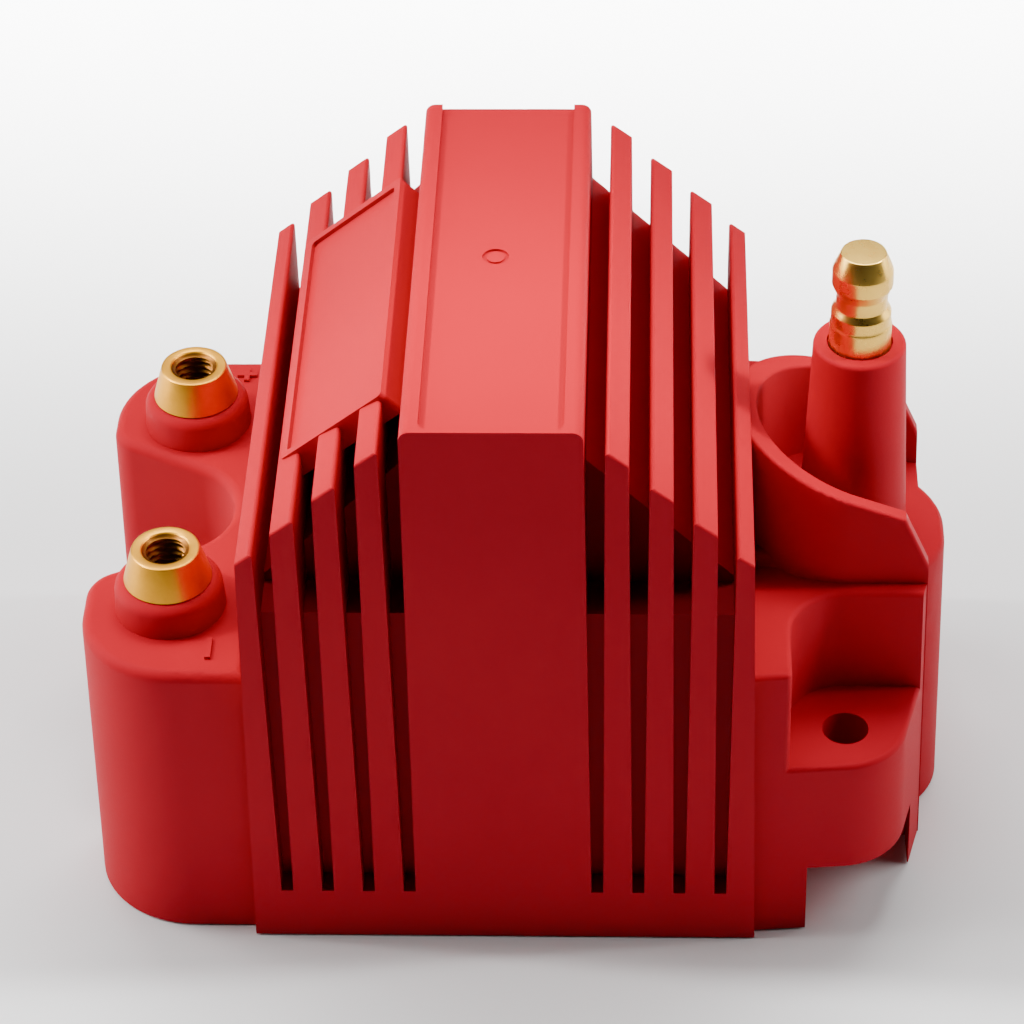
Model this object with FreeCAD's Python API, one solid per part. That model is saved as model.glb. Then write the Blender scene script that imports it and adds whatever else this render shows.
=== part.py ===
import FreeCAD, Part
import math
import os

os.makedirs("parts", exist_ok=True)
V = FreeCAD.Vector

# ---- driving dimensions (mm). Origin: centre of the finned body's underside, +Z up, front is -Y ----
body_depth = 58.0            # finned body, front face to back face
body_half_top = 26.0         # half width of the body at the outermost fin tips
body_half_base = 27.0        # half width at the base, with the moulding draft
block_half = 9.04            # half width of the tall centre block
block_top = 69.1             # top of the centre block
rail_depth = 0.6             # the centre block's flat lies this far below its two edge rails
rail_width = 1.9
edge_round = 0.35            # small radius on the fins' tips and corners
fin_pitch = 4.386
groove_first = 10.07         # centre of the groove beside the centre block
groove_half_low, groove_half_high = 0.64, 1.06
groove_bottom = 6.6          # the grooves stop this far above the base
fin_tip_slope = 0.79         # each fin's own tip is flatter than the 45 degree gable
floor_gable = 68.6           # groove floors follow z = floor_gable - x
step_height = 43.6           # above this the body behind the grooves is set back
groove_depth_low, groove_depth_high = 2.8, 8.0   # at the front; the back face is plain
wall = 2.2

lobe_top = 35.5              # terminal lobes, left
lobe_reach = 44.9
lobe_front, lobe_back = -27.6, 28.0
lobe_corner = 11.0
notch_x, notch_y, notch_r = -37.2, 0.8, 7.4
notch_flare = 26.5           # degrees
draft = 0.018                # moulded walls lean in by this much per mm of height
collar_r, collar_top = 5.8, 39.2
insert_x, insert_front, insert_back = -35.0, -15.4, 16.2
insert_top = 43.1
insert_base_r, insert_top_r = 4.65, 3.55
thread_minor_r, thread_major_r = 2.08, 2.42    # 10-32
thread_depth = 10.5

hv_x = 37.3                  # HV tower axis
tower_base_r, tower_top_r = 6.0, 4.85
tower_top = 58.8
post_top = 70.1
lobe_hv_reach = 47.95
lobe_hv_half, lobe_hv_corner = 10.2, 9.2
hv_floor_in, hv_floor_out = 37.6, 33.7         # the floor round the tower falls outwards
shield_in_x, shield_out_x = 26.8, 24.3        # the shield curls round the tower on its inner side
wing_in, wing_out = 10.4, 12.25
shield_in_r, shield_out_r = 10.2, 12.0
shield_top_in, shield_slope = 50.5, 0.39
shield_end_x = 42.2
wing_reach_low, wing_reach_knee, wing_knee_z = 45.5, 44.8, 38.5

shoulder_top = 36.0
shoulder_x = 30.2            # the screw pocket starts here
ear_bottom, ear_top = 8.8, 23.0
hole_x, hole_y, hole_r = 36.3, 20.6, 2.45
ear_r = 7.6
pocket_back = 13.9
undercut_x, undercut_back, undercut_deep = 32.5, 17.2, 12.9
skirt_x = 44.0               # outside this the skirt beside the undercut comes further forward
left_hole_x = -37.2
left_ear_top = 17.0

stack_half = 6.9             # E and I laminations
core_bottom, yoke, window_top = 4.0, 7.0, 50.0
leg_in, leg_out = 15.6, 22.6


def box(x0, x1, y0, y1, z0, z1):
    return Part.makeBox(x1 - x0, y1 - y0, z1 - z0, V(x0, y0, z0))


def cylinder(x, y, r, z0, z1):
    return Part.makeCylinder(r, z1 - z0, V(x, y, z0))


def cone(x, y, r0, r1, z0, z1):
    return Part.makeCone(r0, r1, z1 - z0, V(x, y, z0))


def fuse(shapes):
    return shapes[0].multiFuse(shapes[1:]).removeSplitter()


def mirror_y(shape):
    return shape.mirror(V(0, 0, 0), V(0, 1, 0))


def prism_y(points, y0, y1):
    """A solid whose XZ outline runs from y0 to y1."""
    wire = Part.makePolygon([V(x, y0, z) for x, z in points] + [V(points[0][0], y0, points[0][1])])
    return Part.Face(wire).extrude(V(0, y1 - y0, 0))


def rounded(corners, z):
    """A closed wire at height z through corners (x, y, radius)."""
    starts, ends, mids = [], [], []
    count = len(corners)
    for i, (x, y, r) in enumerate(corners):
        here = V(x, y, z)
        a = V(corners[i - 1][0], corners[i - 1][1], z) - here
        b = V(corners[(i + 1) % count][0], corners[(i + 1) % count][1], z) - here
        a.normalize()
        b.normalize()
        if r <= 0:
            starts.append(here)
            ends.append(here)
            mids.append(None)
            continue
        half = a.getAngle(b) / 2
        cut = r / math.tan(half)
        to_centre = (a + b).normalize()
        centre = here + to_centre * (r / math.sin(half))
        starts.append(here + a * cut)
        ends.append(here + b * cut)
        mids.append(centre - to_centre * r)
    edges = []
    for i in range(count):
        if mids[i]:
            edges.append(Part.Arc(starts[i], mids[i], ends[i]).toShape())
        after = starts[(i + 1) % count]
        if ends[i].distanceToPoint(after) > 1e-6:
            edges.append(Part.LineSegment(ends[i], after).toShape())
    return Part.Wire(edges)


def moulded(corners, z0, z1):
    """A straight block on a rounded outline, leaning in by the moulding draft."""
    low = rounded(corners, z0)
    high = low.makeOffset2D(-draft * (z1 - z0), 0, False, False)
    high.translate(V(0, 0, z1 - z0))
    return Part.makeLoft([low, high], True, True)


def prism_z(corners, z0, z1):
    return Part.Face(rounded(corners, z0)).extrude(V(0, 0, z1 - z0))


def fillet_where(shape, radius, test):
    """Round the edges whose middle point passes the test."""
    edges = [e for e in shape.Edges if test(e.valueAt((e.FirstParameter + e.LastParameter) / 2), e)]
    return shape.makeFillet(radius, edges) if edges else shape


buried = []                  # every piece that the potting compound flows round


def export(shape, name, in_potting=True):
    shape.exportStep("parts/%s.step" % name)
    if in_potting:
        buried.append(shape)
    print(name, shape.isValid(), len(shape.Solids), round(shape.Volume, 1))


# ---- finned body: gable outline, its fins parted by grooves, on a set-back body ----
depth = body_depth / 2


def tip_line(x, fin):
    """Height of fin number `fin` at x (fin 0 is beside the centre block)."""
    centre = groove_first + fin_pitch * (fin + 0.5)
    return 78.2 - centre - fin_tip_slope * (x - centre)


def gable_half():
    """Outer XZ outline of the right half, from the top centre to the base centre."""
    points = [(0, block_top), (block_half, block_top), (groove_first, block_top)]
    for fin in range(4):
        x0 = groove_first + fin_pitch * fin
        x1 = min(x0 + fin_pitch, body_half_top)
        points += [(x0, tip_line(x0, fin)), (x1, tip_line(x1, fin))]
    points += [(body_half_base, 0), (0, 0)]
    return points


right_half = prism_y(gable_half(), -depth, depth)
plates = right_half.fuse(right_half.mirror(V(0, 0, 0), V(1, 0, 0))).removeSplitter()
grooves = []
for fin in range(4):
    x = groove_first + fin_pitch * fin
    outline = [(x - groove_half_low, groove_bottom), (x + groove_half_low, groove_bottom),
               (x + groove_half_high, block_top + 1), (x - groove_half_high, block_top + 1)]
    cutter = prism_y(outline, -depth - 1, depth + 1)
    grooves += [cutter, cutter.mirror(V(0, 0, 0), V(1, 0, 0))]
for cutter in grooves:
    plates = plates.cut(cutter)


def is_fin_edge(m, e):
    """The tips' long edges, and the ends of the tips at the front and back faces."""
    along = (e.Vertexes[0].Point - e.Vertexes[-1].Point).normalize()
    on_end = abs(abs(m.y) - depth) < 0.01 and abs(along.x) > 0.5 and m.z > 40
    return abs(m.x) > block_half + 0.5 and (on_end or abs(along.y) > 0.99 and m.z > 40)


plates = fillet_where(plates, edge_round, is_fin_edge)

inner_low = box(-24.6, 24.6, -depth + groove_depth_low, depth, 0, step_height)
inner_high = prism_y([(-24.6, step_height - 5), (24.6, step_height - 5), (24.6, floor_gable - 24.6),
                      (block_half, floor_gable - block_half), (-block_half, floor_gable - block_half),
                      (-24.6, floor_gable - 24.6)], -depth + groove_depth_high, depth)
body = fuse([plates, inner_low, inner_high])

# The flat on the centre block, sunk between its two rails and stopped by a lip at the front.
flat = prism_z([(-block_half + rail_width, -depth + 0.5, 1.2), (block_half - rail_width, -depth + 0.5, 1.2),
                (block_half - rail_width, depth + 1, 0), (-block_half + rail_width, depth + 1, 0)],
               block_top - rail_depth, block_top + 1)
body = body.cut(flat)
body = fillet_where(body, 1.1, lambda m, e: abs(abs(m.x) - block_half) < 0.1 and m.z > block_top - 0.05)
# The witness of the injection point: a shallow round recess with a low button in it.
gate_x, gate_y = -0.5, 1.3
body = body.cut(cylinder(gate_x, gate_y, 1.4, block_top - rail_depth - 0.25, block_top))
body = body.fuse(cylinder(gate_x, gate_y, 0.9, block_top - rail_depth - 0.4, block_top - rail_depth - 0.05))

# ---- label panel on the left gable slope: a blank slanted plate with a raised border ----
panel_inner, panel_outer = 11.2, 22.0          # distance from the middle, along X
panel_skew = 3.2                               # the outer edge lies this much further back
panel_front, panel_back = -20.7, 17.5          # ends of the inner edge
panel_line = 78.6                              # the border's top face follows z = panel_line - x


def on_gable(inset, low, high):
    """The panel's outline, drawn flat with an inset border, laid on the left slope."""
    down = (panel_outer - panel_inner) * math.sqrt(2)
    slant = panel_skew / down
    corners = [(-inset, panel_front + inset, 0.5), (-inset, panel_back - inset, 0.5),
               (-down + inset, panel_back + panel_skew - slant * inset - inset, 0.5),
               (-down + inset, panel_front + panel_skew - slant * inset + inset, 0.5)]
    plate = prism_z(corners, low, high)
    plate.rotate(V(0, 0, 0), V(0, 1, 0), -45)
    plate.translate(V(-panel_inner, 0, panel_line - panel_inner))
    return plate


body = body.fuse(on_gable(0, -3.0, 0)).cut(on_gable(0.9, -0.45, 1)).removeSplitter()

# ---- terminal lobes on the left, with the screw notch between them ----
lobes = moulded([(-25.5, lobe_front, 0), (-25.5, lobe_back, 0), (-lobe_reach, lobe_back, lobe_corner),
                 (-lobe_reach, lobe_front, lobe_corner)], 0, lobe_top)


def notch_space(r):
    """The screw notch: round at its inner end, flaring outwards, with end radius r."""
    flare = math.radians(notch_flare)
    touch_x, touch_y = notch_x + r * math.sin(flare), r * math.cos(flare)
    mouth_x = -lobe_reach - 4
    mouth_y = touch_y + (touch_x - mouth_x) * math.tan(flare)
    wedge = prism_z([(touch_x, touch_y, 0), (mouth_x, mouth_y, 0), (mouth_x, -mouth_y, 0),
                     (touch_x, -touch_y, 0)], -1, lobe_top + 1)
    space = cylinder(notch_x, 0, r, -1, lobe_top + 1).fuse(wedge)
    space.translate(V(0, notch_y, 0))
    return space


lobes = lobes.cut(notch_space(notch_r)).removeSplitter()
lobes = fillet_where(lobes, 4.0, lambda m, e: abs(abs(m.y - notch_y) - 12) < 1 and m.x < -43 and abs(m.z - lobe_top / 2) < 2)
lobes = fillet_where(lobes, 1.2, lambda m, e: m.z > lobe_top - 0.01 and m.x < -26)
left_ear = cylinder(left_hole_x, notch_y, notch_r + 0.6, ear_bottom, left_ear_top).fuse(
    box(left_hole_x, -26, notch_y - notch_r, notch_y + notch_r, ear_bottom, left_ear_top))
collars = []
for y in (insert_front, insert_back):
    ring = cone(insert_x, y, collar_r + 0.15, collar_r - 0.15, lobe_top - 1, collar_top)
    collars.append(fillet_where(ring, 1.3, lambda m, e: m.z > collar_top - 0.01))
marks = [box(-30.6, -30.0, -24.3, -21.2, lobe_top - 0.3, lobe_top + 0.35),
         box(-30.5, -29.9, 23.2, 25.4, lobe_top - 0.3, lobe_top + 0.35),
         box(-31.3, -29.1, 24.0, 24.6, lobe_top - 0.3, lobe_top + 0.35)]

# ---- HV side: tower lobe, wing ribs, shield wall and the two screw ears ----
hv_lobe = moulded([(25.5, -lobe_hv_half, 0), (lobe_hv_reach, -lobe_hv_half, lobe_hv_corner),
                   (lobe_hv_reach, lobe_hv_half, lobe_hv_corner), (25.5, lobe_hv_half, 0)], 0, 40)
fall = (hv_floor_in - hv_floor_out) / (lobe_hv_reach - 27)
over = prism_y([(20, hv_floor_in + 7 * fall), (60, hv_floor_in - 33 * fall), (60, 60), (20, 60)], -30, 30)
hv_lobe = hv_lobe.cut(over)
hv_lobe = fillet_where(hv_lobe, 1.0, lambda m, e: m.z > 33 and m.x > 30 and abs(m.y) < 10.3)

wing_outline = [(25.5, 0), (wing_reach_low, 0), (wing_reach_knee, wing_knee_z),
                (shield_end_x, shield_top_in - shield_slope * (shield_end_x - 27)),
                (27 - 1.5, shield_top_in + shield_slope * 1.5)]


def shield_outline(start_x, half, r, z0):
    return prism_z([(start_x, -half, r), (50, -half, 0), (50, half, 0), (start_x, half, r)], z0, 55)


shield_plan = shield_outline(shield_out_x, wing_out, shield_out_r, 0).common(box(25.0, 50, -20, 20, 0, 55))
shield_hollow = shield_outline(shield_in_x, wing_in, shield_in_r, 30).common(over)
shield = shield_plan.common(prism_y(wing_outline, -20, 20)).cut(shield_hollow)
shield = fillet_where(shield, 0.4, lambda m, e: m.z > 39 and m.x > 26 and e.BoundBox.ZLength < 12 and e.Length > 3)

screw_block = moulded([(25.5, -28.0, 0), (41.8, -26.55, ear_r), (45.4, -wing_out, 0), (45.4, -10, 0),
                       (25.5, -7, 0)], 0, shoulder_top).cut(shield_hollow)


def is_pocket_lip(m, e):
    """The edge round the top of the screw pocket, and its front corner."""
    level = abs(m.z - shoulder_top) < 0.01 and m.x > shoulder_x - 0.1 and m.y < -pocket_back + 0.3
    corner = abs(m.x - shoulder_x) < 0.2 and m.y < -27 and m.z > ear_top
    return level or corner


def is_front_rim(m, e):
    """The front edges of the shoulder's top and of the ear's top."""
    return m.y < -20 and (abs(m.z - shoulder_top) < 0.01 or abs(m.z - ear_top) < 0.01 and m.x > shoulder_x + 0.6)


pocket = prism_z([(shoulder_x, -40, 0), (60, -40, 0), (60, -pocket_back, 0),
                  (shoulder_x, -pocket_back, 6.0)], ear_top, shoulder_top + 1)
undercut = box(undercut_x, 60, -40, -undercut_back, -1, ear_bottom).fuse(
    box(undercut_x, skirt_x, -undercut_back - 1, -undercut_deep, -1, ear_bottom)).removeSplitter()
screw_block = screw_block.cut(pocket).cut(undercut).removeSplitter()
screw_block = fillet_where(screw_block, 0.6, lambda m, e: is_pocket_lip(m, e) or is_front_rim(m, e))
screw_block = screw_block.cut(cylinder(hole_x, -hole_y, hole_r, 0, 40)).removeSplitter()

tower = cone(hv_x, 0, tower_base_r, tower_top_r, 31.0, tower_top)
tower = fillet_where(tower, 0.5, lambda m, e: m.z > tower_top - 0.01)

# ---- the hollow inside, open at the base and filled with potting ----
slope_in = floor_gable - wall * math.sqrt(2)
side_in = 22.6
upper = prism_y([(-side_in, 35), (side_in, 35), (side_in, slope_in - side_in), (7.2, slope_in - 7.2),
                 (-7.2, slope_in - 7.2), (-side_in, slope_in - side_in)], -18.8, 18.8)
hollow = fuse([
    box(-side_in, side_in, -24, 24, -1, step_height - wall),
    upper,
    box(-7.2, 7.2, -26.2, 26.2, 20, block_top - rail_depth - 2.6),
    prism_z([(-22, -24.9, 0), (-22, 24.9, 0), (-42.0, 24.9, 8.5), (-42.0, -24.9, 8.5)], -1, 32.5).cut(
        notch_space(notch_r + 2.6)),
    prism_z([(22, -7.6, 0), (45.2, -7.6, 6.8), (45.2, 7.6, 6.8), (22, 7.6, 0)], -1, 31.0)])

post_bores = [cylinder(hv_x, 0, 3.45, tower_top - 0.6, tower_top + 1), cylinder(hv_x, 0, 3.25, 52, tower_top),
              cylinder(hv_x, 0, 2.5, 30, 52.5)]
insert_bores = [cylinder(insert_x, y, 3.4, 30, collar_top + 1) for y in (insert_front, insert_back)]

housing = fuse([body, lobes, left_ear, hv_lobe, shield, screw_block, mirror_y(screw_block), tower]
               + collars + marks)
housing = housing.cut(hollow)
housing = housing.cut(cylinder(left_hole_x, notch_y, hole_r, 0, 30))
for bore in post_bores + insert_bores:
    housing = housing.cut(bore)
housing = housing.removeSplitter()
export(housing, "housing")

# ---- terminal inserts: conical brass tops, threaded, with a shouldered stem through the case ----
stem_bottom, lug_top = 29.4, 31.0
for name, y in (("negative_terminal_insert", insert_front), ("positive_terminal_insert", insert_back)):
    insert = fuse([cone(insert_x, y, insert_base_r, insert_top_r, collar_top, insert_top),
                   cylinder(insert_x, y, 3.4, lug_top, collar_top),
                   cylinder(insert_x, y, 2.8, lug_top - 0.8, lug_top),
                   cylinder(insert_x, y, 3.3, stem_bottom, lug_top - 0.8)])
    insert = insert.cut(cylinder(insert_x, y, thread_minor_r, insert_top - thread_depth, insert_top + 1))
    insert = insert.cut(cone(insert_x, y, thread_minor_r, thread_major_r + 0.25, insert_top - 0.6, insert_top + 0.01))
    export(insert, name)

# ---- HV terminal post: bulb, neck and collar above the tower, shank down into the hollow ----
post_profile = [(0, 28.6), (2.5, 28.6), (2.5, 52), (3.25, 52), (3.25, 61.4), (3.15, 61.7), (3.15, 62.9),
                (2.67, 63.6), (2.67, 65.1), (3.17, 66.3), (3.17, 68.0), (2.35, post_top), (0, post_top)]
wire = Part.makePolygon([V(hv_x + r, 0, z) for r, z in post_profile] + [V(hv_x, 0, 28.6)])
post = Part.Face(wire).revolve(V(hv_x, 0, 0), V(0, 0, 1), 360)
export(post, "hv_terminal_post")

# ---- laminated core: an E with its legs up, the gap sheet, and the I across the top ----
s = stack_half
e_core = fuse([box(-s, s, -leg_out, leg_out, core_bottom, core_bottom + yoke),
               box(-s, s, -s, s, core_bottom + yoke - 1, window_top),
               box(-s, s, leg_in, leg_out, core_bottom + yoke - 1, window_top),
               box(-s, s, -leg_out, -leg_in, core_bottom + yoke - 1, window_top)])
gap = 0.5
i_bottom, i_top = window_top + gap, window_top + gap + yoke
i_core = box(-s, s, -leg_out, leg_out, i_bottom, i_top)
rivets = []
for y, z in ((-19.1, 7.5), (19.1, 7.5), (-16.5, 54.0), (16.5, 54.0)):
    shaft = Part.makeCylinder(1.4, 2 * s, V(-s, y, z), V(1, 0, 0))
    heads = [Part.makeCylinder(2.3, 0.5, V(x, y, z), V(1, 0, 0)) for x in (-s - 0.5, s)]
    e_core = e_core.cut(shaft)
    i_core = i_core.cut(shaft)
    rivets.append(fuse([shaft] + heads))
export(e_core, "e_core_stack")
export(i_core, "i_core_stack")
export(box(-s, s, -leg_out, leg_out, window_top, i_bottom), "core_gap_spacer")
export(Part.makeCompound(rivets), "core_rivets")
tape = box(-3.5, 3.5, -leg_out - 0.4, leg_out + 0.4, core_bottom - 0.4, i_top + 0.4).cut(
    box(-4, 4, -leg_out, leg_out, core_bottom, i_top))
export(tape, "core_stress_tape")


# ---- windings round the centre leg ----
def square_ring(inner, outer, z0, z1, corner):
    """A square tube round the centre leg; half widths, with rounded corners."""
    def block(half, r):
        return prism_z([(-half, -half, r), (half, -half, r), (half, half, r), (-half, half, r)], z0, z1)
    return block(outer, corner + outer - inner).cut(block(inner, corner))


bobbin_low, bobbin_high = 11.4, 47.2
primary = [square_ring(s + 0.3, s + 1.3, bobbin_low, bobbin_high, 0.4)]
for z in (bobbin_low, bobbin_high - 1.2):
    primary.append(square_ring(s + 0.3, s + 3.7, z, z + 1.2, 0.4))
primary_bobbin = fuse(primary)
lead_x, lead_y = -s - 2.5, 4.0
for side in (-1, 1):
    primary_bobbin = primary_bobbin.cut(cylinder(lead_x, side * lead_y, 0.6, bobbin_low - 1, bobbin_low + 1.2))
export(primary_bobbin, "primary_bobbin")
export(square_ring(s + 1.3, s + 3.7, bobbin_low + 1.2, bobbin_high - 1.2, 1.4), "primary_winding")
export(square_ring(s + 3.7, s + 4.1, bobbin_low, bobbin_high, 3.8), "interlayer_wrap")

tube_in, tube_out, rib_out, coil_out = s + 4.3, s + 5.3, s + 8.5, s + 7.9
sections, end_rib, rib = 8, 1.8, 0.8
span = (bobbin_high - bobbin_low - 2 * end_rib - (sections - 1) * rib) / sections
shapes = [square_ring(tube_in, tube_out, bobbin_low, bobbin_high, 4.0),
          square_ring(tube_in, rib_out, bobbin_low, bobbin_low + end_rib, 4.0),
          square_ring(tube_in, rib_out, bobbin_high - end_rib, bobbin_high, 4.0)]
coils = []
for i in range(sections):
    z = bobbin_low + end_rib + i * (span + rib)
    coils.append(square_ring(tube_out, coil_out, z, z + span, 5.0))
    if i:
        shapes.append(square_ring(tube_in, rib_out, z - rib, z, 4.0))
pin_low, pin_high = bobbin_low + end_rib / 2, bobbin_high - end_rib / 2
pins = [Part.makeCylinder(0.4, 5.6, V(tube_out + 0.6, 0, pin_low), V(1, 0, 0)),
        Part.makeCylinder(0.4, 4.0, V(-tube_out - 0.6, 0, pin_high), V(-1, 0, 0))]
secondary_bobbin = fuse(shapes)
for pin in pins:
    secondary_bobbin = secondary_bobbin.cut(pin)
export(secondary_bobbin, "secondary_bobbin")
export(Part.makeCompound(coils), "secondary_winding")
export(Part.makeCompound(pins), "secondary_pins")


# ---- leads: straight runs joined by tangent arcs ----
def lead(points, radius, bend):
    """A round wire through the points, each corner rounded by `bend`."""
    edges, start = [], V(*points[0])
    for before, corner, after in zip(points, points[1:], points[2:]):
        here = V(*corner)
        a = (V(*before) - here).normalize()
        b = (V(*after) - here).normalize()
        half = a.getAngle(b) / 2
        cut = bend / math.tan(half)
        middle = (a + b).normalize()
        centre = here + middle * (bend / math.sin(half))
        edges.append(Part.LineSegment(start, here + a * cut).toShape())
        edges.append(Part.Arc(here + a * cut, centre - middle * bend, here + b * cut).toShape())
        start = here + b * cut
    edges.append(Part.LineSegment(start, V(*points[-1])).toShape())
    path = Part.Wire(edges)
    first = V(*points[1]) - V(*points[0])
    section = Part.Wire([Part.makeCircle(radius, V(*points[0]), first)])
    return path.makePipeShell([section], True, False)


ferrule_low, post_bottom = 24.6, 28.6
ferrule = cylinder(hv_x, 0, 2.2, ferrule_low, post_bottom).cut(cylinder(hv_x, 0, 1.3, ferrule_low, post_bottom - 1))
export(ferrule, "hv_lead_ferrule")
pin_end = tube_out + 0.6 + 5.6
export(lead([(pin_end, 0, pin_low), (hv_x, 0, pin_low), (hv_x, 0, post_bottom - 1)], 1.3, 6.0), "hv_lead")

lug_reach = 6.4
for name, wire_name, side, y in (("negative_lug", "negative_lead", -1, insert_front),
                                 ("positive_lug", "positive_lead", 1, insert_back)):
    lug = fuse([cylinder(insert_x, y, 4.6, lug_top - 0.8, lug_top),
                box(insert_x, insert_x + lug_reach + 1.4, y - 1.8, y + 1.8, lug_top - 0.8, lug_top)])
    lug = lug.cut(cylinder(insert_x, y, 2.8, 20, 40))
    export(lug, name)
    tab_x = insert_x + lug_reach
    export(lead([(lead_x, side * lead_y, bobbin_low + 1.2), (lead_x, side * lead_y, 7.0),
                 (tab_x, y, 7.0), (tab_x, y, lug_top - 0.8)], 0.6, 2.5), wire_name)

return_start = -tube_out - 0.6 - 4.0
return_x, return_end = return_start - 1.9, insert_x + 4.1
export(lead([(return_start, 0, pin_high), (return_x, 0, pin_high), (return_x, 8.0, 24.0),
             (return_end, insert_back, 24.0), (return_end, insert_back, lug_top - 0.8)], 0.45, 1.2),
       "secondary_return_lead")

# ---- potting compound: fills the hollow round everything, flush with the base rim ----
potting = hollow.common(box(-60, 60, -40, 40, 0, 80))
for node in buried:
    potting = potting.cut(node)
export(potting, "potting_compound", False)
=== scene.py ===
import math

import bmesh
import bpy
from mathutils import Matrix, Vector


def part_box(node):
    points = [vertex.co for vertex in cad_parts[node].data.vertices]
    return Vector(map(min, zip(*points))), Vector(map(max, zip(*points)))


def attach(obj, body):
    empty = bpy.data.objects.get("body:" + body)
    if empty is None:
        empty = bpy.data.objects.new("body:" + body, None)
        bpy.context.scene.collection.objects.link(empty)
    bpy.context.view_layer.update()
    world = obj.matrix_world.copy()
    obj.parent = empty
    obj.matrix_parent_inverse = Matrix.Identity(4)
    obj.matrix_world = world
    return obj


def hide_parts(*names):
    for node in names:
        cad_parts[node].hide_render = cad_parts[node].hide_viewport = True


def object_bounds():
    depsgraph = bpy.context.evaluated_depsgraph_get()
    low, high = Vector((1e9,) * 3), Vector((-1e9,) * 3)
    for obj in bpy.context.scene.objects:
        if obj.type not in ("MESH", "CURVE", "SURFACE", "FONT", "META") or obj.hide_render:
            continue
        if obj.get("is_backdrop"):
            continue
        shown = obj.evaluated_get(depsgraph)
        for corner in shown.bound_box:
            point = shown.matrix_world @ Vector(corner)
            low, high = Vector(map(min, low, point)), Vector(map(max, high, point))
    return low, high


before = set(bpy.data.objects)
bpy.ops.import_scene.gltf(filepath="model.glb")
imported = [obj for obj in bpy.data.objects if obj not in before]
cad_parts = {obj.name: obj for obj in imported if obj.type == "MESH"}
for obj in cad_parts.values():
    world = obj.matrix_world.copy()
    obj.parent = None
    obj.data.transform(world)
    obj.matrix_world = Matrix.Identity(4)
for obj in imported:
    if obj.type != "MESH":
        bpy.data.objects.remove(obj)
cad_low, cad_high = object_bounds()


# ---- Laminated core -------------------------------------------------------------------------
# Varnished silicon steel sheets, punched as E and I shapes and stacked. The E's centre leg
# carries the windings, and the I closes the loop above a thin gap sheet.

class Link:
    """A node socket that takes part in arithmetic, and that can add any other node to its tree."""

    def __init__(self, tree, socket=None):
        self.tree, self.socket = tree, socket

    def node(self, kind, settings=None, feeds=None, out=0):
        made = self.tree.nodes.new(kind)
        for key, value in (settings or {}).items():
            setattr(made, key, value)
        for key, value in (feeds or {}).items():
            plug = made.inputs[key]
            if isinstance(value, Link):
                self.tree.links.new(value.socket, plug)
            else:
                plug.default_value = value
        return Link(self.tree, made.outputs[out])

    def maths(self, operation, first, second=0.0):
        return self.node("ShaderNodeMath", {"operation": operation}, {0: first, 1: second})

    def __add__(self, other):
        return self.maths("ADD", self, other)

    __radd__ = __add__

    def __sub__(self, other):
        return self.maths("SUBTRACT", self, other)

    def __rsub__(self, other):
        return self.maths("SUBTRACT", other, self)

    def __mul__(self, other):
        return self.maths("MULTIPLY", self, other)

    __rmul__ = __mul__

    def __truediv__(self, other):
        return self.maths("DIVIDE", self, other)

    def __rtruediv__(self, other):
        return self.maths("DIVIDE", other, self)

    def __pow__(self, other):
        return self.maths("POWER", self, other)

    def __rpow__(self, other):
        return self.maths("POWER", other, self)


class Finish:
    """One material: a Principled surface with its own object coordinates."""

    def __init__(self, name, **constants):
        self.material = bpy.data.materials.new(name)
        self.material.use_nodes = True
        self.tree = self.material.node_tree
        self.surface = self.tree.nodes["Principled BSDF"]
        self.here = Link(self.tree)
        self.place = self.here.node("ShaderNodeTexCoord", out="Object")
        for key, value in constants.items():
            self.surface.inputs[key.replace("_", " ")].default_value = value

    def feed(self, name, link):
        self.tree.links.new(link.socket, self.surface.inputs[name])

    def noise(self, scale, detail=2.0, stretch=(1, 1, 1), roughness=0.5):
        spot = self.place
        if stretch != (1, 1, 1):
            spot = self.here.node("ShaderNodeMapping", feeds={"Vector": self.place, "Scale": stretch})
        return self.here.node("ShaderNodeTexNoise", {"noise_dimensions": "3D"},
                              {"Vector": spot, "Scale": scale, "Detail": detail, "Roughness": roughness})

    def span(self, link, low, high):
        """Moves a 0 to 1 link to the range low to high."""
        return link * (high - low) + low

    def blend(self, factor, first, second):
        return self.here.node("ShaderNodeMix", {"data_type": "RGBA"},
                              {0: factor, 6: first, 7: second}, out=2)

    def axis(self, index):
        return self.here.node("ShaderNodeSeparateXYZ", feeds={0: self.place}, out=index)

    def bump(self, height, depth, strength=1.0):
        self.feed("Normal", self.here.node("ShaderNodeBump", feeds={
            "Height": height, "Distance": depth, "Strength": strength}))


def steel_sheet_finish():
    finish = Finish("varnished lamination steel", Metallic=0.9, Coat_Roughness=0.3)
    patches = finish.noise(260, 4)
    finish.feed("Base Color", finish.blend(patches, (0.16, 0.17, 0.19, 1), (0.30, 0.31, 0.33, 1)))
    finish.feed("Roughness", finish.span(finish.noise(900, 3, (1, 1, 0.1)), 0.34, 0.55))
    finish.feed("Coat Weight", finish.span(patches, 0.15, 0.45))
    finish.bump(finish.noise(5200, 2, (1, 1, 0.08)), 0.00001)
    return finish.material


def flat_mesh(name, outline, across, thickness, material):
    """A punched sheet: a YZ outline, `thickness` thick along X from `across`."""
    shape = bmesh.new()
    corners = [shape.verts.new((across, y, z)) for y, z in outline]
    face = shape.faces.new(corners)
    pushed = bmesh.ops.extrude_face_region(shape, geom=[face])["geom"]
    pushed_verts = [v for v in pushed if isinstance(v, bmesh.types.BMVert)]
    bmesh.ops.translate(shape, vec=(thickness, 0, 0), verts=pushed_verts)
    bmesh.ops.recalc_face_normals(shape, faces=shape.faces)
    mesh = bpy.data.meshes.new(name)
    shape.to_mesh(mesh)
    shape.free()
    mesh.materials.append(material)
    return mesh


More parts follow.
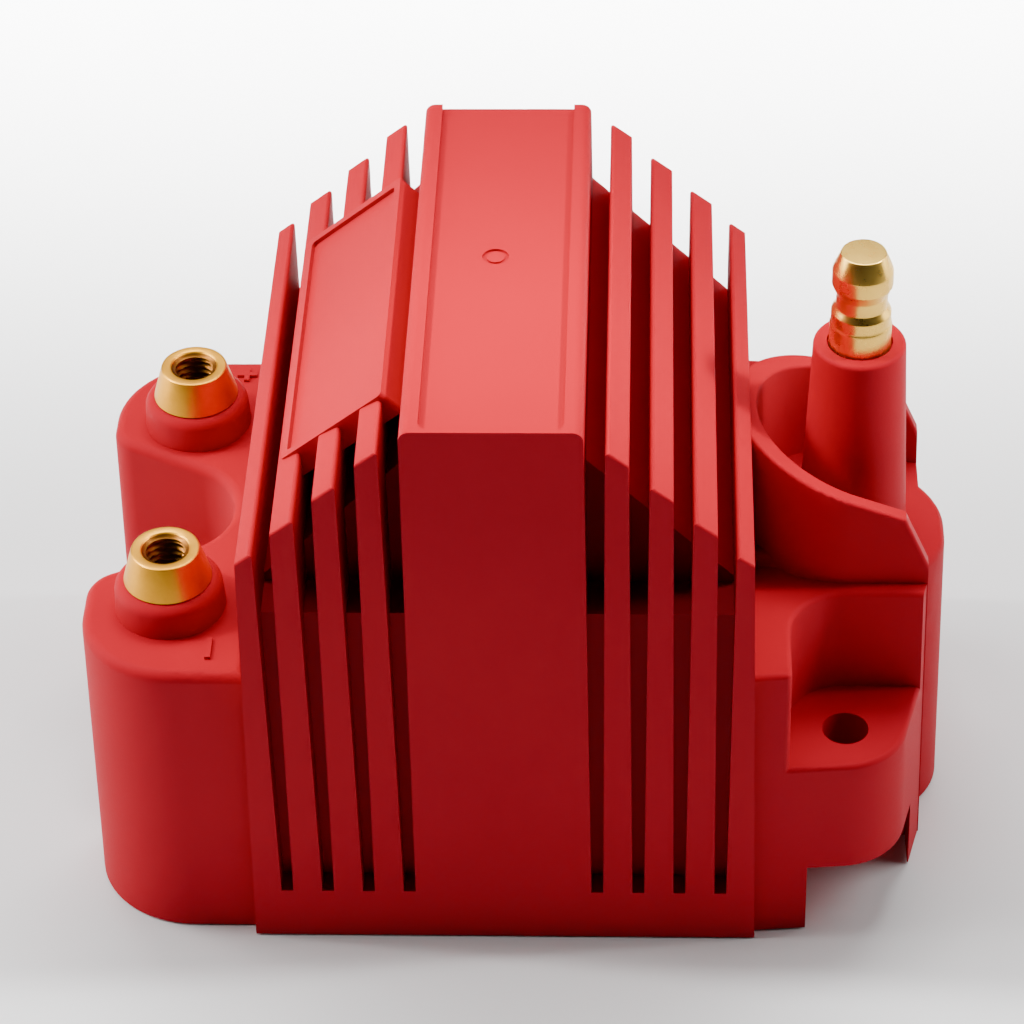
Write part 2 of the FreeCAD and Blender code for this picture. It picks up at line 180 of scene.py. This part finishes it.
def row_tree():
    """Geometry Nodes: copies of the incoming shape along a straight row, each moved by Step."""
    tree = bpy.data.node_groups.new("row of like pieces", "GeometryNodeTree")
    face = tree.interface
    face.new_socket("Shape", in_out="INPUT", socket_type="NodeSocketGeometry")
    face.new_socket("Count", in_out="INPUT", socket_type="NodeSocketInt").default_value = 2
    face.new_socket("Step", in_out="INPUT", socket_type="NodeSocketVector")
    face.new_socket("Finish", in_out="INPUT", socket_type="NodeSocketMaterial")
    face.new_socket("Shape", in_out="OUTPUT", socket_type="NodeSocketGeometry")
    here = Link(tree)
    given = tree.nodes.new("NodeGroupInput")
    shape, count, step, finish = (Link(tree, given.outputs[i]) for i in range(4))
    line = here.node("GeometryNodeMeshLine", feeds={"Count": count, "Offset": step})
    copies = here.node("GeometryNodeInstanceOnPoints", feeds={"Points": line, "Instance": shape})
    solid = here.node("GeometryNodeRealizeInstances", feeds={"Geometry": copies})
    done = here.node("GeometryNodeSetMaterial", feeds={"Geometry": solid, "Material": finish})
    result = tree.nodes.new("NodeGroupOutput")
    tree.links.new(done.socket, result.inputs[0])
    return tree


def grown(name, mesh, tree, **inputs):
    """Runs a Geometry Nodes tree on a mesh and returns the plain mesh object that it makes."""
    holder = bpy.data.objects.new(name + ".source", mesh)
    bpy.context.scene.collection.objects.link(holder)
    modifier = holder.modifiers.new("grow", "NODES")
    modifier.node_group = tree
    for item in tree.interface.items_tree:
        if item.in_out == "INPUT" and item.name in inputs:
            modifier[item.identifier] = inputs[item.name]
    seen = holder.evaluated_get(bpy.context.evaluated_depsgraph_get())
    result = bpy.data.meshes.new_from_object(seen)
    result.name = name
    holder.modifiers.remove(modifier)
    bpy.data.objects.remove(holder)
    return placed(name, result)


def placed(name, mesh):
    piece = bpy.data.objects.new(name, mesh)
    bpy.context.scene.collection.objects.link(piece)
    return piece


def joins(piece, slot, *nodes):
    """The piece rides with the coil and stands for CAD nodes, which it hides; slot is not used."""
    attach(piece, "root")
    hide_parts(*nodes)
    return piece


MM = 0.001
SHEETS = 27

row = row_tree()
sheet_steel = steel_sheet_finish()
stack_low, stack_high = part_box("e_core_stack")
bar_low, bar_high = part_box("i_core_stack")
sheet_step = (stack_high.x - stack_low.x) / SHEETS
sheet_thickness = sheet_step * 0.9
yoke_top = stack_low.z + 7 * MM
centre_leg, inner_leg = 6.9 * MM, 15.6 * MM      # half width of the middle leg; inside of the outer legs
half = [(stack_high.y, stack_low.z), (stack_high.y, stack_high.z), (inner_leg, stack_high.z),
        (inner_leg, yoke_top), (centre_leg, yoke_top), (centre_leg, stack_high.z)]
e_outline = half + [(-y, z) for y, z in reversed(half)]
i_outline = [(bar_low.y, bar_low.z), (bar_high.y, bar_low.z),
             (bar_high.y, bar_high.z), (bar_low.y, bar_high.z)]
for name, outline in (("e_core_stack", e_outline), ("i_core_stack", i_outline)):
    sheet = flat_mesh(name + " sheet", outline, stack_low.x, sheet_thickness, sheet_steel)
    stack = grown(name + "_sheets", sheet, row, Count=SHEETS, Step=(sheet_step, 0, 0), Finish=sheet_steel)
    joins(stack, "core_steel", name)


# ---- Core fixings -----------------------------------------------------------------------------
# Pressboard gap sheet between the E and the I, four steel rivets with low domed heads through
# the stacks, and a soft cloth tape round the core that takes up shrinkage of the potting.

def board_finish():
    finish = Finish("pressboard", Specular_IOR_Level=0.2)
    fibres = finish.noise(1800, 5, (1, 0.15, 1), 0.7)
    finish.feed("Base Color", finish.blend(fibres, (0.30, 0.20, 0.10, 1), (0.52, 0.38, 0.21, 1)))
    finish.feed("Roughness", finish.span(fibres, 0.75, 0.95))
    finish.bump(fibres, 0.00003)
    return finish.material


def plated_steel_finish(name, dark, light):
    finish = Finish(name, Metallic=1.0)
    haze = finish.noise(700, 4)
    finish.feed("Base Color", finish.blend(haze, dark, light))
    finish.feed("Roughness", finish.span(haze, 0.22, 0.42))
    finish.bump(finish.noise(6000, 2), 0.000006)
    return finish.material


def cloth_tape_finish():
    finish = Finish("cloth tape", Sheen_Weight=0.3, Specular_IOR_Level=0.3)
    warp = finish.here.node("ShaderNodeTexWave", {"bands_direction": "X"},
                            {"Vector": finish.place, "Scale": 620.0, "Distortion": 0.6})
    weft = finish.here.node("ShaderNodeTexWave", {"bands_direction": "DIAGONAL"},
                            {"Vector": finish.place, "Scale": 620.0, "Distortion": 0.6})
    weave = finish.here.node("ShaderNodeSeparateColor", feeds={0: warp}) * finish.here.node(
        "ShaderNodeSeparateColor", feeds={0: weft})
    finish.feed("Base Color", finish.blend(weave, (0.015, 0.015, 0.016, 1), (0.07, 0.07, 0.072, 1)))
    finish.feed("Roughness", finish.span(weave, 0.7, 0.92))
    finish.bump(weave, 0.00005)
    return finish.material


def dress(node, material):
    """Puts a material in every slot of a CAD node's own mesh."""
    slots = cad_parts[node].data.materials
    for index in range(len(slots)):
        slots[index] = material


def lathe(rings, segments=64, radius=None):
    """A closed turned shape about Z from (r, z) rings; r = 0 at an end makes its pole."""
    shape = bmesh.new()
    rows = []
    for r, z in rings:
        if r == 0:
            rows.append([shape.verts.new((0, 0, z))])
            continue
        circle = []
        for k in range(segments):
            turn = 2 * math.pi * k / segments
            reach = radius(r, z, turn) if radius else r
            circle.append(shape.verts.new((reach * math.cos(turn), reach * math.sin(turn), z)))
        rows.append(circle)
    for below, above in zip(rows, rows[1:]):
        for k in range(segments):
            n = (k + 1) % segments
            corners = ([below[0], below[0]] if len(below) == 1 else [below[k], below[n]]) + (
                [above[0], above[0]] if len(above) == 1 else [above[n], above[k]])
            shape.faces.new(list(dict.fromkeys(corners)))
    bmesh.ops.recalc_face_normals(shape, faces=shape.faces)
    return shape


def finished_mesh(name, shape, material, smooth_angle=35):
    mesh = bpy.data.meshes.new(name)
    shape.to_mesh(mesh)
    shape.free()
    mesh.materials.append(material)
    mesh.shade_smooth()
    mesh.set_sharp_from_angle(angle=math.radians(smooth_angle))
    return mesh


dress("core_gap_spacer", board_finish())
dress("core_stress_tape", cloth_tape_finish())

rivet_length, head_height, head_r, shaft_r = 13.8 * MM, 0.5 * MM, 2.3 * MM, 1.4 * MM
dome = [(head_r * math.cos(a), head_height * math.sin(a)) for a in (0.0, 0.5, 0.95, 1.3)]
rivet_rings = ([(0, -head_height)] + [(r, -h) for r, h in reversed(dome)] + [(shaft_r, 0.0),
               (shaft_r, rivet_length)] + [(r, rivet_length + h) for r, h in dome]
               + [(0, rivet_length + head_height)])
plated = plated_steel_finish("zinc plated steel", (0.42, 0.43, 0.44, 1), (0.66, 0.66, 0.65, 1))
rivet_pairs = []
for pair_y, pair_z in ((19.1 * MM, 7.5 * MM), (16.5 * MM, 54 * MM)):
    rivet = lathe(rivet_rings, 24)
    bmesh.ops.rotate(rivet, matrix=Matrix.Rotation(math.radians(90), 3, "Y"), verts=rivet.verts)
    bmesh.ops.translate(rivet, vec=(stack_low.x, -pair_y, pair_z), verts=rivet.verts)
    rivet_pairs.append(grown("rivet_pair", finished_mesh("rivet", rivet, plated), row,
                             Count=2, Step=(0, 2 * pair_y, 0), Finish=plated))
low_pair, high_pair = rivet_pairs
both = bmesh.new()
both.from_mesh(low_pair.data)
both.from_mesh(high_pair.data)
both.to_mesh(low_pair.data)
both.free()
bpy.data.objects.remove(high_pair)
low_pair.name = "core_rivets_set"
joins(low_pair, "rivet_steel", "core_rivets")


# ---- Primary bobbin and winding ----------------------------------------------------------------
# Black glass-filled nylon former on the centre leg, wound with two layers of heavy enamelled
# copper wire, then covered by a polyester film that insulates it from the secondary.

def nylon_finish():
    finish = Finish("black glass-filled nylon", Specular_IOR_Level=0.45)
    flow = finish.noise(420, 5, (1, 1, 0.3), 0.65)
    finish.feed("Base Color", finish.blend(flow, (0.012, 0.012, 0.014, 1), (0.035, 0.035, 0.038, 1)))
    finish.feed("Roughness", finish.span(flow, 0.38, 0.58))
    finish.bump(finish.noise(7000, 3), 0.00001)
    return finish.material


def enamel_finish(name, dark, light, wire_scale):
    finish = Finish(name, Metallic=0.85, Coat_Roughness=0.08)
    tint = finish.noise(wire_scale, 3)
    finish.feed("Base Color", finish.blend(tint, dark, light))
    finish.feed("Roughness", finish.span(tint, 0.18, 0.30))
    finish.feed("Coat Weight", finish.span(tint, 0.5, 0.9))
    return finish.material


def wire_loop(half_width, corner, wire_r, z, sides=6, arc_steps=4):
    """Points of one turn: a square with rounded corners, and its wire as a closed tube."""
    path = []
    for cx, cy, start in ((1, 1, 0.0), (-1, 1, 0.5), (-1, -1, 1.0), (1, -1, 1.5)):
        for k in range(arc_steps + 1):
            turn = math.pi * (start + 0.5 * k / arc_steps)
            path.append(((half_width - corner) * cx + corner * math.cos(turn),
                         (half_width - corner) * cy + corner * math.sin(turn), turn))
    rings = []
    for x, y, turn in path:
        rings.append([(x + wire_r * math.cos(a) * math.cos(turn), y + wire_r * math.cos(a) * math.sin(turn),
                       z + wire_r * math.sin(a)) for a in (2 * math.pi * s / sides for s in range(sides))])
    return rings


def wound(name, loops, material):
    """One mesh of closed wire loops."""
    shape = bmesh.new()
    for rings in loops:
        rows = [[shape.verts.new(p) for p in ring] for ring in rings]
        for near, far in zip(rows, rows[1:] + rows[:1]):
            for s in range(len(near)):
                t = (s + 1) % len(near)
                shape.faces.new((near[s], far[s], far[t], near[t]))
    bmesh.ops.recalc_face_normals(shape, faces=shape.faces)
    return finished_mesh(name, shape, material, 80)


nylon = nylon_finish()
dress("primary_bobbin", nylon)
heavy_wire = enamel_finish("heavy enamelled copper", (0.34, 0.10, 0.03, 1), (0.55, 0.20, 0.07, 1), 300)
winding_low, winding_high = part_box("primary_winding")
heavy_r = 0.55 * MM
turns = int((winding_high.z - winding_low.z) / (2.04 * heavy_r)) - 1
layers = [wire_loop(8.2 * MM + heavy_r * (1 + 2 * n), (1.2 + 1.1 * n) * MM, heavy_r,
                    winding_low.z + heavy_r * (1.02 + 0.9 * n)) for n in range(2)]
winding = grown("primary_winding_turns", wound("heavy turn", layers, heavy_wire), row, Count=turns,
                Step=(0, 0, 2.04 * heavy_r), Finish=heavy_wire)
joins(winding, "enamelled_copper", "primary_winding")


def film_finish():
    finish = Finish("polyester film", Coat_Roughness=0.05)
    band = finish.noise(140, 2, (1, 1, 4))
    finish.feed("Base Color", finish.blend(band, (0.50, 0.36, 0.10, 1), (0.72, 0.56, 0.20, 1)))
    finish.feed("Roughness", finish.span(band, 0.14, 0.28))
    finish.feed("Coat Weight", finish.span(band, 0.3, 0.7))
    finish.bump(finish.noise(300, 2, (1, 1, 0.2)), 0.00004)
    return finish.material


dress("interlayer_wrap", film_finish())


# ---- Secondary bobbin, winding and pins --------------------------------------------------------
# A ribbed nylon former slides over the primary. Eight sections hold thousands of turns of hair
# fine copper wire, which ends on a tinned pin at each end of the former.

dress("secondary_bobbin", nylon)
fine_wire = enamel_finish("fine enamelled copper", (0.42, 0.16, 0.05, 1), (0.62, 0.28, 0.10, 1), 900)
coil_low, coil_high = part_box("secondary_winding")
SECTIONS, RIB = 8, 0.8 * MM
section = (coil_high.z - coil_low.z - (SECTIONS - 1) * RIB) / SECTIONS
ROWS = 6                                          # stands for the many rows of hair-fine wire
fine_r = section / (2 * ROWS)
outer, corner = coil_high.x, 6.6 * MM
coil = [wire_loop(outer - fine_r, corner, fine_r, coil_low.z + fine_r * (2 * n + 1), arc_steps=5)
        for n in range(ROWS)]
winding = grown("secondary_winding_sections", wound("fine turns", coil, fine_wire), row, Count=SECTIONS,
                Step=(0, 0, section + RIB), Finish=fine_wire)
joins(winding, "fine_copper", "secondary_winding")
tinned = plated_steel_finish("tinned copper", (0.55, 0.55, 0.54, 1), (0.75, 0.75, 0.73, 1))
dress("secondary_pins", tinned)


# ---- Leads and lugs ----------------------------------------------------------------------------
# The primary's ends run to tin plated lugs under the terminal inserts. A thin tinned wire ties
# the secondary's low end to the positive lug, and a silicone lead carries the high voltage.

def silicone_finish():
    finish = Finish("silicone lead", Specular_IOR_Level=0.35, Subsurface_Weight=0.05)
    skin = finish.noise(500, 3)
    finish.feed("Base Color", finish.blend(skin, (0.34, 0.05, 0.03, 1), (0.46, 0.09, 0.06, 1)))
    finish.feed("Roughness", finish.span(skin, 0.45, 0.6))
    finish.bump(skin, 0.00002)
    return finish.material


for node in ("positive_lead", "negative_lead"):
    dress(node, heavy_wire)
dress("secondary_return_lead", tinned)
dress("hv_lead", silicone_finish())
lug_plate = plated_steel_finish("tin plated brass", (0.50, 0.48, 0.42, 1), (0.70, 0.68, 0.62, 1))
for node in ("positive_lug", "negative_lug"):
    dress(node, lug_plate)


# ---- Case --------------------------------------------------------------------------------------
# One injection moulding in red glass-filled plastic: gabled fins, terminal lobes, screw ears and
# the high-voltage tower. Every edge leaves the mould slightly rounded, with a satin skin.

def red_plastic_finish():
    finish = Finish("red moulded plastic", Specular_IOR_Level=0.11, Specular_Tint=(1.0, 0.3, 0.5, 1))
    cloud = finish.noise(45, 3)
    speck = finish.noise(2400, 3, roughness=0.7)
    shade = cloud * 0.7 + speck * 0.3
    finish.feed("Base Color", finish.blend(shade, (0.37, 0.0045, 0.0120, 1), (0.45, 0.0060, 0.0150, 1)))
    finish.feed("Roughness", finish.span(speck, 0.54, 0.68))
    finish.bump(finish.noise(3600, 3, roughness=0.6), 0.000012)
    return finish.material


def flat_patches(shape):
    """Numbers each face with its flat patch, and returns those numbers and the patches' areas."""
    patch, areas = {}, []
    for first in shape.faces:
        if first.index in patch:
            continue
        patch[first.index], area, waiting = len(areas), 0.0, [first]
        while waiting:
            face = waiting.pop()
            area += face.calc_area()
            for edge in face.edges:
                for other in edge.link_faces:
                    if other.index not in patch and first.normal.dot(other.normal) > 0.999995:
                        patch[other.index] = len(areas)
                        waiting.append(other)
        areas.append(area)
    return patch, areas


def corner_normals(shape, sharp_angle):
    """A normal for each face corner: even over curves, and square on wherever a big flat meets one."""
    patch, areas = flat_patches(shape)
    limit = math.cos(sharp_angle)
    normals = {}
    for vert in shape.verts:
        left = set(vert.link_faces)
        while left:
            fan, waiting = [], [left.pop()]
            while waiting:
                face = waiting.pop()
                fan.append(face)
                for edge in face.edges:
                    for other in edge.link_faces:
                        if other in left and vert in edge.verts and face.normal.dot(other.normal) > limit:
                            left.remove(other)
                            waiting.append(other)
            sizes = sorted({(areas[patch[f.index]], patch[f.index]) for f in fan}, reverse=True)
            if len(sizes) == 1 or sizes[0][0] > 2.2 * sizes[1][0]:
                normal = next(f.normal for f in fan if patch[f.index] == sizes[0][1]).copy()
            else:
                normal = Vector()
                for f in fan:
                    corner = next(c for c in f.loops if c.vert is vert)
                    normal += f.normal * corner.calc_angle()
            for f in fan:
                normals[f.index, vert.index] = normal.normalized()
    return normals


def welded_copy(node, name, material, smooth_angle):
    """A joined-up copy of a CAD node's mesh, whose flat faces stay flat beside the rounded edges."""
    shape = bmesh.new()
    shape.from_mesh(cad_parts[node].data)
    bmesh.ops.remove_doubles(shape, verts=shape.verts, dist=0.000001)
    bmesh.ops.dissolve_degenerate(shape, edges=shape.edges, dist=0.0000005)
    shape.faces.index_update()
    shape.verts.index_update()
    shape.normal_update()
    normals = corner_normals(shape, math.radians(smooth_angle))
    mesh = finished_mesh(name, shape, material, smooth_angle)
    mesh.normals_split_custom_set([normals[face.index, vert]
                                   for face in mesh.polygons for vert in face.vertices])
    return placed(name, mesh)


red_plastic = red_plastic_finish()
joins(welded_copy("housing", "moulded_case", red_plastic, 28), "red_case", "housing")


# ---- Terminal inserts ----------------------------------------------------------------------------
# Turned from brass bar with a conical top, drilled and tapped 10-32, and pressed through the
# case into their lugs. The cutter leaves fine rings on the faces.

def turned_brass_finish(name, axis_x, axis_y, dark, light, rough=(0.20, 0.36), bore_r=0.0, bore_top=1.0):
    """Turned faces with fine rings; inside `bore_r` and below `bore_top` the thread is painted dark brass as
    painted shade down the hole.
    """
    finish = Finish(name, Metallic=1.0)
    out = finish.here.node("ShaderNodeVectorMath", {"operation": "SUBTRACT"},
                           {0: finish.place, 1: (axis_x, axis_y, 0.0)})
    out = finish.here.node("ShaderNodeVectorMath", {"operation": "MULTIPLY"}, {0: out, 1: (1.0, 1.0, 0.0)})
    reach = finish.here.node("ShaderNodeVectorMath", {"operation": "LENGTH"}, {0: out}, out=1)
    rings = finish.here.maths("SINE", (reach + finish.axis(2)) * 52000.0)
    stain = finish.noise(520, 4, roughness=0.6)
    # Painted shade: the tapped bore and its thread take a dark brass colour that stands in for the shade
    # down the hole.
    painted_bore_shade = (finish.here.maths("LESS_THAN", reach, bore_r)
              * finish.here.maths("LESS_THAN", finish.axis(2), bore_top))
    bright = finish.blend(stain, dark, light)
    finish.feed("Base Color", finish.blend(painted_bore_shade, bright, (0.20, 0.075, 0.012, 1)))
    finish.feed("Roughness", finish.span(stain, *rough))
    finish.bump(rings, 0.0000015)
    return finish.material


PITCH = 25.4 / 32 * MM
MINOR, THREAD_DEPTH = 2.08 * MM, 0.40 * MM
BORE_STEPS = 110


def thread_form(r, z, turn, low, high):
    """Radius of the tapped bore: a 60 degree groove that winds up the hole and fades at its ends."""
    phase = (z / PITCH - turn / (2 * math.pi)) % 1.0
    ridge = min(1.0, max(0.0, 1.25 - 2.5 * abs(phase - 0.5)))
    fade = min(1.0, max(0.0, (z - low) / PITCH)) * min(1.0, max(0.0, (high - z) / (0.4 * PITCH)))
    return r + THREAD_DEPTH * ridge * fade


for node, name in (("negative_terminal_insert", "negative_insert_turned"),
                   ("positive_terminal_insert", "positive_insert_turned")):
    low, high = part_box(node)
    middle = (low + high) / 2
    top, case_face = high.z, 39.2 * MM
    floor_z = top - 10.5 * MM
    stem = [(0, low.z), (3.1, low.z), (3.3, low.z + 0.2 * MM), (3.3, low.z + 0.8 * MM),
            (2.8, low.z + 0.8 * MM), (2.8, low.z + 1.6 * MM), (3.4, low.z + 1.6 * MM)]
    head = [(3.4, case_face), (4.5, case_face), (4.65, case_face + 0.15 * MM), (4.60, case_face + 0.35 * MM),
            (3.66, top - 0.22 * MM), (3.60, top - 0.09 * MM), (3.48, top - 0.01 * MM), (3.38, top)]
    mouth = [(2.66, top), (2.60, top - 0.03 * MM), (2.40, top - 0.28 * MM)]
    rings = [(r * MM, z) for r, z in stem + head + mouth]
    thread_top = top - 0.42 * MM
    rings += [(MINOR, thread_top - (thread_top - floor_z) * k / BORE_STEPS) for k in range(BORE_STEPS + 1)]
    rings += [(0, floor_z - 0.8 * MM)]
    insert = lathe(rings, 72, lambda r, z, turn: thread_form(r, z, turn, floor_z, thread_top)
                   if abs(r - MINOR) < 1e-9 else r)
    bmesh.ops.translate(insert, vec=(middle.x, middle.y, 0), verts=insert.verts)
    brass = turned_brass_finish(name + " brass", middle.x, middle.y,
                                (0.68, 0.28, 0.012, 1), (0.88, 0.43, 0.028, 1),
                                rough=(0.30, 0.46), bore_r=2.55 * MM, bore_top=top - 0.15 * MM)
    joins(placed(name, finished_mesh(name, insert, brass, 30)), "brass", node)


# ---- High-voltage post ---------------------------------------------------------------------------
# A brass post turned with a bulb, neck and collar, so that the spark lead's clip snaps over it.
# Its plain shank is pressed down the tower and meets the silicone lead in a brass ferrule.

def eased(points, cut, steps=3):
    """Rounds the corners of an (r, z) outline by about `cut`."""
    done = [points[0]]
    for a, b, c in zip(points, points[1:], points[2:]):
        before, corner, after = Vector(a), Vector(b), Vector(c)
        back = min(cut, (before - corner).length * 0.45)
        on = min(cut, (after - corner).length * 0.45)
        start = corner + (before - corner).normalized() * back
        end = corner + (after - corner).normalized() * on
        for k in range(steps + 1):
            t = k / steps
            spot = start * (1 - t) ** 2 + corner * 2 * t * (1 - t) + end * t * t
            done.append((spot.x, spot.y))
    return done + [points[-1]]


low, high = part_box("hv_terminal_post")
middle = (low + high) / 2
shank = [(0, low.z / MM), (2.5, low.z / MM), (2.5, 52), (3.25, 52)]
collar = [(3.25, 61.35), (3.13, 61.7), (3.13, 62.9)]
neck = [(2.67, 63.6), (2.67, 65.1)]
bulb = [(3.17, 66.3), (3.17, 68.0), (2.33, high.z / MM), (0, high.z / MM)]
post = lathe([(r * MM, z * MM) for r, z in eased(shank + collar + neck + bulb, 0.12)], 80)
bmesh.ops.translate(post, vec=(middle.x, middle.y, 0), verts=post.verts)
post_brass = turned_brass_finish("post brass", middle.x, middle.y,
                                 (0.86, 0.47, 0.07, 1), (0.96, 0.62, 0.13, 1))
post_mesh = finished_mesh("hv_post_turned", post, post_brass, 30)
joins(placed("hv_post_turned", post_mesh), "brass", "hv_terminal_post")
dress("hv_lead_ferrule", post_brass)


# ---- Potting -------------------------------------------------------------------------------------
# Black epoxy, cast into the upturned case under vacuum and cured flush with its rim.

def epoxy_finish():
    finish = Finish("black epoxy", Specular_IOR_Level=0.5, Coat_Roughness=0.12)
    swirl = finish.noise(130, 4)
    finish.feed("Base Color", finish.blend(swirl, (0.010, 0.010, 0.011, 1), (0.030, 0.028, 0.027, 1)))
    finish.feed("Roughness", finish.span(swirl, 0.20, 0.38))
    finish.feed("Coat Weight", finish.span(swirl, 0.1, 0.4))
    finish.bump(finish.noise(90, 3), 0.00012)
    return finish.material


dress("potting_compound", epoxy_finish())


# ---- Floor, light and camera ---------------------------------------------------------------------
# A white table under soft boxes from above, from behind and from both sides, with two narrow
# lights that pick out the top.

def floor_finish():
    finish = Finish("white table", Specular_IOR_Level=0.1)
    grain = finish.noise(30, 2)
    finish.feed("Base Color", finish.blend(grain, (0.81, 0.81, 0.81, 1), (0.83, 0.83, 0.83, 1)))
    finish.feed("Roughness", finish.span(grain, 0.85, 0.95))
    return finish.material


table = bmesh.new()
bmesh.ops.create_grid(table, x_segments=1, y_segments=1, size=3.0)
bmesh.ops.translate(table, vec=(0, 0, cad_low.z - 0.0002), verts=table.verts)
table_top = placed("table", finished_mesh("table", table, floor_finish()))
table_top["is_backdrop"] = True


def aimed(name, lamp, power, place, target):
    lamp.energy = power
    holder = bpy.data.objects.new(name, lamp)
    holder.location = place
    holder.rotation_euler = (Vector(target) - Vector(place)).to_track_quat("-Z", "Y").to_euler()
    bpy.context.scene.collection.objects.link(holder)


def softbox(name, width, height, power, place, target, spread=180):
    lamp = bpy.data.lights.new(name, "AREA")
    lamp.shape = "RECTANGLE"
    lamp.size, lamp.size_y, lamp.spread = width, height, math.radians(spread)
    aimed(name, lamp, power, place, target)


def snoot(name, angle, radius, power, place, target):
    lamp = bpy.data.lights.new(name, "SPOT")
    lamp.spot_size, lamp.spot_blend, lamp.shadow_soft_size = math.radians(angle), 1.0, radius
    aimed(name, lamp, power, place, target)


softbox("overhead left", 0.5, 0.4, 6, (-0.55, 0.12, 0.70), (0, 0.03, 0))
softbox("overhead right", 0.5, 0.4, 2.6, (0.55, 0.12, 0.70), (0, 0.03, 0))
softbox("zenith", 0.5, 0.2, 6, (0, 0.26, 0.75), (0, 0, 0.03))
snoot("top left", 8.0, 0.03, 32.0, (-0.42, 0.03, 0.45), (0, -0.012, 0.055))
snoot("top right", 8.0, 0.03, 32.0, (0.42, 0.03, 0.45), (0, -0.012, 0.055))
softbox("behind", 0.4, 0.10, 2.6, (0, 0.20, 0.60), (0, 0.20, 0), 26)
softbox("back", 1.0, 0.5, 2.0, (-0.03, 0.62, 0.50), (0, 0, 0.04))
softbox("left", 0.3, 0.3, 2.4, (-0.50, 0.06, 0.16), (0, 0, 0.03))
softbox("right", 0.3, 0.3, 1.0, (0.50, 0.12, 0.16), (0, 0, 0.03))

world = bpy.data.worlds.new("studio")
world.use_nodes = True
world.node_tree.nodes["Background"].inputs["Color"].default_value = (1, 1, 1, 1)
world.node_tree.nodes["Background"].inputs["Strength"].default_value = 0.03
bpy.context.scene.world = world

camera_data = bpy.data.cameras.new("camera")
camera_data.sensor_width = 36.0
camera_data.lens = 36.0 * 3813.4 / 1024
camera_data.clip_start, camera_data.clip_end = 0.01, 20.0
camera = bpy.data.objects.new("camera", camera_data)
yaw, pitch, roll = -0.046, 0.684, -0.025
forward = Vector((math.sin(yaw) * math.cos(pitch), math.cos(yaw) * math.cos(pitch), -math.sin(pitch)))
level = Vector((math.cos(yaw), -math.sin(yaw), 0))
above = level.cross(forward)
side = level * math.cos(roll) + above * math.sin(roll)
up = above * math.cos(roll) - level * math.sin(roll)
turned = Matrix((side, up, -forward)).transposed().to_4x4()
camera.matrix_world = Matrix.Translation((0.015323, -0.319906, 0.296665)) @ turned
bpy.context.scene.collection.objects.link(camera)
bpy.context.scene.camera = camera

low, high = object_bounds()
